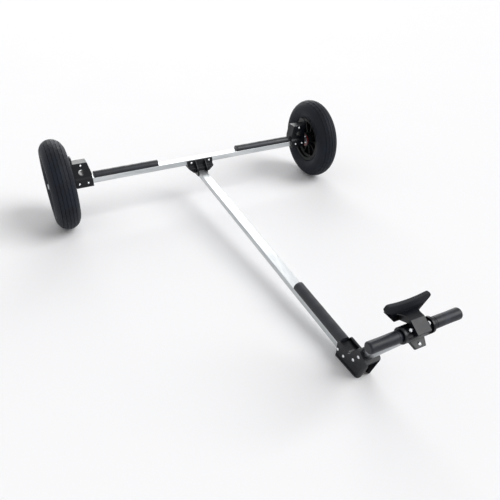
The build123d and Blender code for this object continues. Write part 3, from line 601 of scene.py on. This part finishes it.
class DOLLY_OT_tyres(bpy.types.Operator):
    """Build the ribbed tyres"""

    bl_idname = "dolly.tyres"
    bl_label = "Tyres"

    def execute(self, context):
        colours, sizes = context.scene.dolly_colours, context.scene.dolly_sizes
        # Vulcanised rubber: dull black whose blue cast is painted reflection, with a faint bloom
        # and a little dry dust on the ribs and flanks; the grooves get no dust and stay darker,
        # which is painted shade in the grooves.
        rubber = finish(
            "tyre rubber, vulcanised in a mould",
            base=colours.tyre,
            worn=colours.bloom,
            gloss=(0.5, 0.7),
            cell=even(0.003),
            relief=0.0001,
            patch=even(0.06),
            wear=(0.4, 0.8),
            sheen=0.2,
            dust=colours.dust,
        )
        for name in SIDES:
            low, high = (np.array(corner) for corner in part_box(f"tyre_{name}"))
            centre = (low + high) / 2
            half, _, radius = (high - low) / 2
            # dust holds real dust on the ribs and flanks and none in the grooves, whose darker
            # tone is painted shade.
            along, out, dust = self.section(sizes, radius, half)
            points = shell(along, out, centre, (1, 0, 0), (0, 0, 1))
            piece(
                f"ribbed_tyre_{name}",
                [skin(points, ring_rows=True)],
                rubber,
                f"wheel_{name}",
                [f"tyre_{name}"],
                crease=30,
                dust=np.broadcast_to(dust, points.shape[:2]),
            )
        return {"FINISHED"}

    @staticmethod
    def wall(angle, radius, half, foot_half, foot_radius):
        """Tyre wall at an angle: a half circle over the crown and a flatter arc down each flank.

        Above the waist the point is half * (cos, sin) from the waist's middle.  Below it the
        arc has radius (step^2 + drop^2) / (2 step), so it leaves the crown without a corner
        and ends at the foot.  The third value is the foot's angle.
        """
        waist = radius - half
        step, drop = half - foot_half, waist - foot_radius
        bend = (step**2 + drop**2) / (2 * step)
        below = np.sin(angle) < 0
        reach = np.where(below, bend, half)
        along = np.where(below, np.sign(np.cos(angle)) * (half - bend), 0) + reach * np.cos(angle)
        return along, waist + reach * np.sin(angle), -math.atan2(drop, bend - step)

    def section(self, sizes, radius, half):
        """Closed outline of the wall as distances along and out from the axle, and its dust, which
        leaves the grooves bare so that they stay darker as painted shade.

        The grooves' edges zigzag sideways as a triangle wave round the tyre.  Two low bands
        stand on each flank, one over the rim's flange and one at the shoulder.
        """
        columns, zigzags, flank_steps, lining_steps = 240, 40, 12, 24
        band_rows, band_height = np.array([2, 3, 15, 16]), 0.0007
        # Share of dust on the ribs and flanks; the grooves get none, and their darker tone is
        # painted shade.
        rib_dust_and_groove_shade = 0.15
        foot = self.wall(0.0, radius, half, sizes.bead_half_width, sizes.flange_radius)[2]
        top, floor = sizes.groove_top / 2, sizes.groove_floor / 2
        order = np.arange(sizes.groove_count) - (sizes.groove_count - 1) / 2
        middles = order * -sizes.groove_pitch
        grooves = (middles[:, None] + np.array([top, floor, -floor, -top])).ravel()
        depth = np.tile([0, sizes.groove_depth, sizes.groove_depth, 0], sizes.groove_count)
        first = math.acos(grooves[0] / half)
        flank = np.concatenate(
            [
                np.linspace(foot, 0, flank_steps, endpoint=False),
                np.linspace(0, first, flank_steps, endpoint=False),
            ]
        )
        angle = np.concatenate([flank, np.arccos(grooves / half), math.pi - flank[::-1]])
        sunk = np.concatenate([np.zeros(len(flank)), depth, np.zeros(len(flank))])
        in_tread = np.concatenate(
            [np.zeros(len(flank)), np.ones(len(depth)), np.zeros(len(flank))]
        )
        lift = np.zeros(len(angle))
        lift[band_rows] = lift[-1 - band_rows] = band_height
        along, out, _ = self.wall(angle, radius, half, sizes.bead_half_width, sizes.flange_radius)
        along = along + (lift - sunk) * np.cos(angle)
        out = out + (lift - sunk) * np.sin(angle)
        turn = np.arange(columns) / columns
        wave = sizes.groove_wave * (np.abs((turn * zigzags) % 1 - 0.5) * 4 - 1)
        along = along[:, None] + in_tread[:, None] * wave

        lining_shape = (
            radius - sizes.tyre_wall,
            half - sizes.tyre_wall,
            sizes.bead_half_width - sizes.tyre_wall,
            sizes.flange_radius,
        )
        lining_foot = self.wall(0.0, *lining_shape)[2]
        lining = np.linspace(math.pi - lining_foot, lining_foot, lining_steps)
        lining_along, lining_out, _ = self.wall(lining, *lining_shape)
        bead = np.array([sizes.bead_half_width, sizes.bead_half_width - sizes.bead_thickness])
        bead_out = np.full(len(bead), sizes.bead_radius)
        inside = np.concatenate([-bead, lining_along, bead[::-1]])
        along = np.concatenate([along, inside[:, None] * np.ones(columns)])
        out = np.concatenate([out, bead_out, lining_out, bead_out])
        dust = np.zeros(len(out))
        # Dust on the ribs and flanks only: the bare grooves stay darker, painted shade in the
        # grooves.
        dust[: len(angle)] = np.where(sunk > 0, 0.0, rib_dust_and_groove_shade)
        return along, out[:, None], dust[:, None]


class DOLLY_OT_strips(bpy.types.Operator):
    """Build the rubber strips on the beam and tongue"""

    bl_idname = "dolly.strips"
    bl_label = "Strips"

    def execute(self, context):
        colours, sizes = context.scene.dolly_colours, context.scene.dolly_sizes
        # Extruded rubber: satin black with faint drag lines and a grey bloom where a hull
        # has rubbed it.
        rubber = finish(
            "rubber strip, extruded",
            base=colours.strip,
            worn=colours.bloom,
            gloss=(0.3, 0.44),
            cell=even(0.0025),
            relief=0.00008,
            patch=(0.08, 0.03, 0.03),
            wear=(0.4, 0.75),
            sheen=0.5,
        )
        for node in (*both_sides("beam_strip"), "tongue_strip"):
            points = node_points(node)[0]
            direction = long_axis(points)
            across = np.cross((0, 0, 1), direction)
            across /= np.linalg.norm(across)
            up = np.cross(direction, across)
            spans = [
                ((points @ axis).min(), (points @ axis).max()) for axis in (direction, across, up)
            ]
            grid = self.carried(sizes, *(high - low for low, high in spans))
            start = np.array([spans[0][0], sum(spans[1]) / 2, spans[2][0]])
            piece(
                f"rubber_{node}",
                [skin((grid + start) @ np.array([direction, across, up]))],
                rubber,
                "frame",
                [node],
            )
        return {"FINISHED"}

    @staticmethod
    def carried(sizes, distance, width, height):
        """Section of a strip carried along it, as (distance, across, up).

        The section has upright flanks with a shallow groove near the foot and a circular
        crown.  It shrinks at both ends as a quarter circle, and its crown rises and falls
        by up to half a millimetre in two long waves, as hand-laid rubber does.
        """
        flank_height, arc_points, middle_rows, end_steps = 0.008, 29, 40, 5
        plain_end, still_end = 0.01, 0.005
        swell_height, swells = 0.00025, (61, 143)
        half = width / 2
        rise = height - flank_height
        crown = (half**2 + rise**2) / (2 * rise)
        lean = math.asin((crown - rise) / crown)
        arc = np.linspace(lean, math.pi - lean, arc_points)
        foot = np.array([0.0, 0.0022, 0.0027, 0.0035, 0.004])
        sunk = np.array([0.0, 0.0, 1.0, 1.0, 0.0]) * sizes.strip_groove
        side = np.concatenate([half - sunk, crown * np.cos(arc), (sunk - half)[::-1]])
        top = np.concatenate([foot, height - crown + crown * np.sin(arc), foot[::-1]])
        middle = np.linspace(plain_end, distance - plain_end, middle_rows)
        rows, inset = drawn_ends(sizes.strip_end, end_steps, middle, distance)
        waves = np.sin(rows * swells[0]) + np.sin(rows * swells[1] + 1)
        swell = swell_height * waves * (rows > still_end) * (rows < distance - still_end)
        grid = np.empty((len(rows), len(side), 3))
        grid[..., 0] = rows[:, None]
        grid[..., 1] = side * (1 - inset / half)[:, None]
        grid[..., 2] = top * (1 + (swell - inset) / height)[:, None]
        return grid


class DOLLY_OT_grips(bpy.types.Operator):
    """Build the handle grips"""

    bl_idname = "dolly.grips"
    bl_label = "Grips"

    def execute(self, context):
        colours, sizes = context.scene.dolly_colours, context.scene.dolly_sizes
        # Soft vinyl dipped over the handle: satin black whose blue cast is painted reflection,
        # with a leathery skin, greyed where hands rub it.
        vinyl = finish(
            "soft vinyl grip, dipped",
            base=colours.grip,
            worn=colours.dust,
            gloss=(0.36, 0.5),
            cell=even(0.0018),
            relief=0.0001,
            patch=(0.04, 0.03, 0.03),
            wear=(0.5, 0.95),
            sheen=0.35,
        )
        columns = 72
        for name, side in zip(SIDES, (-1.0, 1.0)):
            low, high = (np.array(corner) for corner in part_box(f"grip_{name}"))
            radius, span = (high[2] - low[2]) / 2, high[0] - low[0]
            middle = (low + high) / 2
            start = np.array([low[0] if side > 0 else high[0], middle[1], middle[2]])
            along, out = self.outline(sizes, radius, span)
            points = shell(
                along[:, None], out[:, None] * np.ones(columns), start, (side, 0, 0), (0, 0, 1)
            )
            piece(
                f"vinyl_grip_{name}",
                [skin(points)],
                vinyl,
                "frame",
                [f"grip_{name}"],
                crease=50,
            )
        return {"FINISHED"}

    @staticmethod
    def outline(sizes, radius, span):
        """Grip's outline from the floor of its bore, over the open end and round the closed one.

        The body narrows by under half a millimetre in the middle, a ring is cut near the open
        end, and the closed end is a quarter circle.
        """
        lip, bore_lip, waist_depth = 0.001, 0.0002, 0.0004
        body_steps, round_steps = 24, 9
        rings = sizes.grip_ring + np.array([-1.5, -0.9, 0.9, 1.5]) / 1000
        cut = np.array([0, 1, 1, 0]) * sizes.grip_groove
        body = np.linspace(
            2 * sizes.grip_ring, span - sizes.grip_round, body_steps, endpoint=False
        )
        quarter = np.linspace(0, math.pi / 2, round_steps)
        end_along = span - sizes.grip_round + sizes.grip_round * np.sin(quarter)
        end_out = radius - sizes.grip_round * (1 - np.cos(quarter))
        open_along = [span - sizes.grip_plug, bore_lip, 0, 0, lip]
        bore = sizes.grip_bore
        open_out = [bore, bore, bore + bore_lip, radius - lip, radius]
        waist = waist_depth * np.sin(math.pi * (body - body[0]) / (body[-1] - body[0])) ** 2
        along = np.concatenate([open_along, rings, body, end_along])
        out = np.concatenate([open_out, radius - cut, radius - waist, end_out])
        return along, out


class DOLLY_OT_pad(bpy.types.Operator):
    """Build the bow pad"""

    bl_idname = "dolly.pad"
    bl_label = "Bow pad"

    def execute(self, context):
        colours, sizes = context.scene.dolly_colours, context.scene.dolly_sizes
        # Closed-cell foam cut from sheet: dense and matt, with the fine pits of cut cells and
        # rubbed grey patches.
        foam = finish(
            "closed-cell foam pad, cut from sheet",
            base=colours.pad,
            worn=colours.bloom,
            gloss=(0.55, 0.75),
            cell=even(0.0014),
            relief=0.00016,
            patch=(0.03, 0.02, 0.02),
            wear=(0.45, 0.8),
            sheen=0.3,
        )
        low, high = (np.array(corner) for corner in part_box("saddle_pad"))
        half, depth, height = (high[0] - low[0]) / 2, high[1] - low[1], high[2] - low[2]
        # Corners of the right half as shares of the half width and height, from the middle
        # of the underside round to the middle of the hollow top.
        corners = np.array(
            [(0, 0), (0.668, 0), (0.942, 0.331), (1, 0.638), (0.89, 1), (0.45, 0.855), (0, 0.805)]
        )
        right = corners * (half, height)
        ring = np.concatenate([right, (right[1:-1] * (-1, 1))[::-1]])
        points = self.carried(ring, depth, sizes.pad_round)
        centre = np.array([(low[0] + high[0]) / 2, low[1], low[2]])
        made = piece(
            "foam_bow_pad",
            [skin(points + centre)],
            foam,
            "frame",
            ["saddle_pad"],
            crease=60,
        )
        return {"FINISHED"}

    @staticmethod
    def carried(ring, depth, edge):
        """Outline carried through the pad's depth, drawn in at both faces as a quarter circle.

        The outline's corners are first cut three times over, at a share of each side.  Only
        the crest and tips are rounded: the underside stays flat on its shelf.
        """
        corner_cuts, middle_rows, edge_steps = (0.15, 0.25, 0.25), 7, 8
        round_from, plain_from = 0.3, edge * 1.2
        for cut in corner_cuts:
            ahead = np.roll(ring, -1, axis=0)
            near, far = ring * (1 - cut) + ahead * cut, ring * cut + ahead * (1 - cut)
            ring = np.stack([near, far], 1).reshape(-1, 2)
        tangent = np.roll(ring, -1, axis=0) - np.roll(ring, 1, axis=0)
        inward = np.stack([-tangent[:, 1], tangent[:, 0]], -1)
        inward = inward / np.linalg.norm(tangent, axis=1)[:, None]
        share = np.clip(ring[:, 1] / (round_from * ring[:, 1].max()), 0, 1)
        middle = np.linspace(plain_from, depth - plain_from, middle_rows)
        rows, inset = drawn_ends(edge, edge_steps, middle, depth)
        grid = np.empty((len(rows), len(ring), 3))
        grid[:, :, [0, 2]] = ring + inward * share[:, None] * inset[:, None, None]
        grid[:, :, 1] = rows[:, None]
        return grid


class DOLLY_OT_fasteners(bpy.types.Operator):
    """Build the button-head bolts and lock nuts"""

    bl_idname = "dolly.fasteners"
    bl_label = "Fasteners"

    def execute(self, context):
        colours, sizes = context.scene.dolly_colours, context.scene.dolly_sizes
        # Stainless bolts with rolled heads: bright, with fine turning marks and tea stains.
        stainless = finish(
            "stainless steel bolts, cold headed",
            base=colours.stainless,
            worn=colours.zinc,
            gloss=(0.16, 0.32),
            cell=even(0.0006),
            relief=0.00002,
            patch=even(0.008),
            metallic=1.0,
        )
        for node in ("tee_bolts", "knuckle_bolts", "head_bolts", *both_sides("bracket_bolts")):
            skins = []
            for points in solids(node):
                skins += self.bolt(points, sizes)
            piece(
                f"button_head_{node}",
                skins,
                stainless,
                "frame",
                [node],
                crease=32,
            )
        return {"FINISHED"}

    @staticmethod
    def bolt(points, sizes):
        """Skins of one bolt, and of its nut if it has one, from the CAD solid's points.

        The bolt's axis is the solid's longest direction, and its head is the wider end.  The
        head is a shallow dome, radius * sqrt(1 - (height share)^2) wide, with a hexagon
        socket, whose wall lies at apothem / cos(t) for t within 30 degrees of a flat's middle.
        """
        middle = (points.min(0) + points.max(0)) / 2
        axis = long_axis(points)
        away = points - middle
        reach = away @ axis
        from_axis = np.linalg.norm(away - np.outer(reach, axis), axis=1)
        near, columns = 1e-4, 48
        first_end = from_axis[reach > reach.max() - near].max()
        last_end = from_axis[reach < reach.min() + near].max()
        if first_end < last_end:
            axis, reach = -axis, -reach
        head_end, tail_end = reach.max(), reach.min()
        seat = head_end - sizes.head_height
        head = from_axis[reach > seat - near].max()
        shank = from_axis[reach < tail_end + near].max()
        side = np.cross(axis, (1, 0, 0) if abs(axis[0]) < 0.5 else (0, 0, 1))
        side /= np.linalg.norm(side)
        turn = np.linspace(0, 2 * math.pi, columns, endpoint=False)
        flat = np.mod(turn, math.pi / 3) - math.pi / 6
        hexagon = 1 / np.cos(flat)
        socket_depth, socket_lip, tail_chamfer = 0.0022, 0.0003, 0.0006
        crown_share, socket_rim = 0.93, sizes.socket_radius * 1.3
        rise = np.array([0.98, 0.86, 0.64, 0.36, 0.12])
        dome_along = seat + sizes.head_height * rise
        dome_out = np.maximum(head * np.sqrt(1 - (crown_share * rise) ** 2), socket_rim)
        along = np.concatenate(
            [
                [head_end - socket_depth, head_end - socket_lip, head_end],
                dome_along,
                [seat, seat, tail_end + tail_chamfer, tail_end],
            ]
        )
        out = np.concatenate(
            [
                sizes.socket_radius * np.outer([0.98, 1.0, 1.12], hexagon),
                np.outer([*dome_out, head, shank, shank, shank - tail_chamfer], np.ones(columns)),
            ]
        )
        skins = [skin(shell(along[:, None], out, middle, axis, side))]
        clear_of_seat, proud_of_shank = 1e-3, 5e-4
        nut = (reach < seat - clear_of_seat) & (from_axis > shank + proud_of_shank)
        if nut.any():
            # A hexagon with turned corners, and the round collar of its nylon insert.  A row
            # with width 0 is the hexagon itself.
            corner = from_axis[nut].max()
            flats, turned = corner * math.cos(math.pi / 6), corner * 0.98
            bore = shank + near
            share = np.array([0.0, 0.0, 0.08, 0.62, 0.68, 0.95, 1.0, 1.0])
            collar = flats * np.array([0.96, 0, 0, 0.97, 0.9, 0.8])
            wide = np.array([bore, *collar, bore])[:, None]
            out = np.where(wide > 0, wide * np.ones(columns), np.minimum(flats * hexagon, turned))
            along = tail_end + sizes.nut_offset + sizes.nut_height * (1 - share)
            skins.append(skin(shell(along[:, None], out, middle, axis, side), ring_rows=True))
        return skins


class DOLLY_OT_studio(bpy.types.Operator):
    """Set up the floor, the light and the camera"""

    bl_idname = "dolly.studio"
    bl_label = "Studio"

    def execute(self, context):
        stage = context.scene.dolly_stage
        scene = context.scene
        scene.view_settings.view_transform = "Standard"

        # A plain painted floor, pale enough to read as white and to hold a soft shadow.
        paint = finish(
            "white floor paint, rolled",
            base=stage.floor,
            worn=stage.floor,
            gloss=(0.85, 0.95),
            cell=even(0.4),
            relief=0.0001,
            patch=even(2.0),
        )
        mesh = bpy.data.meshes.new("floor")
        reach, sensor_width, farthest_seen = 60.0, 36, 200
        corners = [(-reach, -reach, 0), (reach, -reach, 0), (reach, reach, 0), (-reach, reach, 0)]
        mesh.from_pydata(corners, [], [(0, 1, 2, 3)])
        mesh.materials.append(paint)
        floor = bpy.data.objects.new("floor", mesh)
        scene.collection.objects.link(floor)

        world = bpy.data.worlds.new("studio")
        world.use_nodes = True
        tree = world.node_tree
        tree.nodes.clear()
        path = add(tree, "ShaderNodeLightPath", {})
        seen = add(
            tree,
            "ShaderNodeMath",
            {"operation": "ADD"},
            {0: path.outputs["Is Camera Ray"], 1: path.outputs["Is Glossy Ray"]},
        )
        shown = add(
            tree,
            "ShaderNodeMath",
            {"operation": "ADD", "use_clamp": True},
            {0: seen.outputs["Value"], 1: path.outputs["Is Transmission Ray"]},
        )
        light = add(tree, "ShaderNodeBackground", {"Color": stage.floor, "Strength": stage.sky})
        white = add(tree, "ShaderNodeBackground", {"Color": stage.floor, "Strength": 1.0})
        both = add(
            tree,
            "ShaderNodeMixShader",
            {},
            {
                0: shown.outputs["Value"],
                1: light.outputs["Background"],
                2: white.outputs["Background"],
            },
        )
        add(tree, "ShaderNodeOutputWorld", {}, {"Surface": both.outputs["Shader"]})
        scene.world = world

        # A low wide light behind the dolly gives its upper faces their sheen, and a wide one
        # from the right of the handle leaves the near left sides in shade.
        for name, strength, width, source in (
            ("back light", stage.back, 45, (0.32, 0.88, 0.34)),
            ("key light", stage.key, 40, (0.61, -0.42, 0.67)),
        ):
            lamp = bpy.data.lights.new(name, "SUN")
            lamp.energy = strength
            lamp.angle = math.radians(width)
            made = bpy.data.objects.new(name, lamp)
            made.rotation_euler = Vector(source).to_track_quat("Z", "Y").to_euler()
            scene.collection.objects.link(made)

        low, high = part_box("tyre_left")
        camera = bpy.data.cameras.new("camera")
        camera.lens = stage.lens
        camera.sensor_width = sensor_width
        camera.clip_end = farthest_seen
        eye = bpy.data.objects.new("camera", camera)
        eye.location = (-stage.eye_left, (low.y + high.y) / 2 - stage.eye_back, stage.eye_height)
        heading = Euler((math.pi / 2 - stage.tilt, 0, stage.turn)).to_matrix()
        roll = Euler((0, 0, stage.roll)).to_matrix()
        eye.rotation_euler = (heading @ roll).to_euler()
        scene.collection.objects.link(eye)
        scene.camera = eye
        return {"FINISHED"}


OPERATORS = (
    DOLLY_OT_tubes,
    DOLLY_OT_mouldings,
    DOLLY_OT_axles,
    DOLLY_OT_tyres,
    DOLLY_OT_strips,
    DOLLY_OT_grips,
    DOLLY_OT_pad,
    DOLLY_OT_fasteners,
    DOLLY_OT_studio,
)


class DOLLY_PT_finish(bpy.types.Panel):
    """Colours, sizes and steps of the dolly's finish"""

    bl_label = "Dinghy dolly"
    bl_space_type = "VIEW_3D"
    bl_region_type = "UI"
    bl_category = "Dolly"

    def draw(self, context):
        for group in (getattr(context.scene, name) for name in GROUPS):
            box = self.layout.box()
            for name in group.__annotations__:
                box.prop(group, name)
        for operator in OPERATORS:
            self.layout.operator(operator.bl_idname)


GROUPS = {"dolly_colours": DollyColours, "dolly_sizes": DollySizes, "dolly_stage": DollyStage}


def register():
    """Add the settings, the operators and the panel."""
    for made in (*GROUPS.values(), *OPERATORS, DOLLY_PT_finish):
        bpy.utils.register_class(made)
    for name, group in GROUPS.items():
        setattr(bpy.types.Scene, name, PointerProperty(type=group))


def unregister():
    """Take the panel, the operators and the settings away."""
    for name in GROUPS:
        delattr(bpy.types.Scene, name)
    for made in reversed((*GROUPS.values(), *OPERATORS, DOLLY_PT_finish)):
        bpy.utils.unregister_class(made)


def main():
    """Run every step in order."""
    register()
    bpy.ops.dolly.tubes()
    bpy.ops.dolly.mouldings()
    bpy.ops.dolly.axles()
    bpy.ops.dolly.tyres()
    bpy.ops.dolly.strips()
    bpy.ops.dolly.grips()
    bpy.ops.dolly.pad()
    bpy.ops.dolly.fasteners()
    bpy.ops.dolly.studio()


if __name__ == "__main__":
    main()
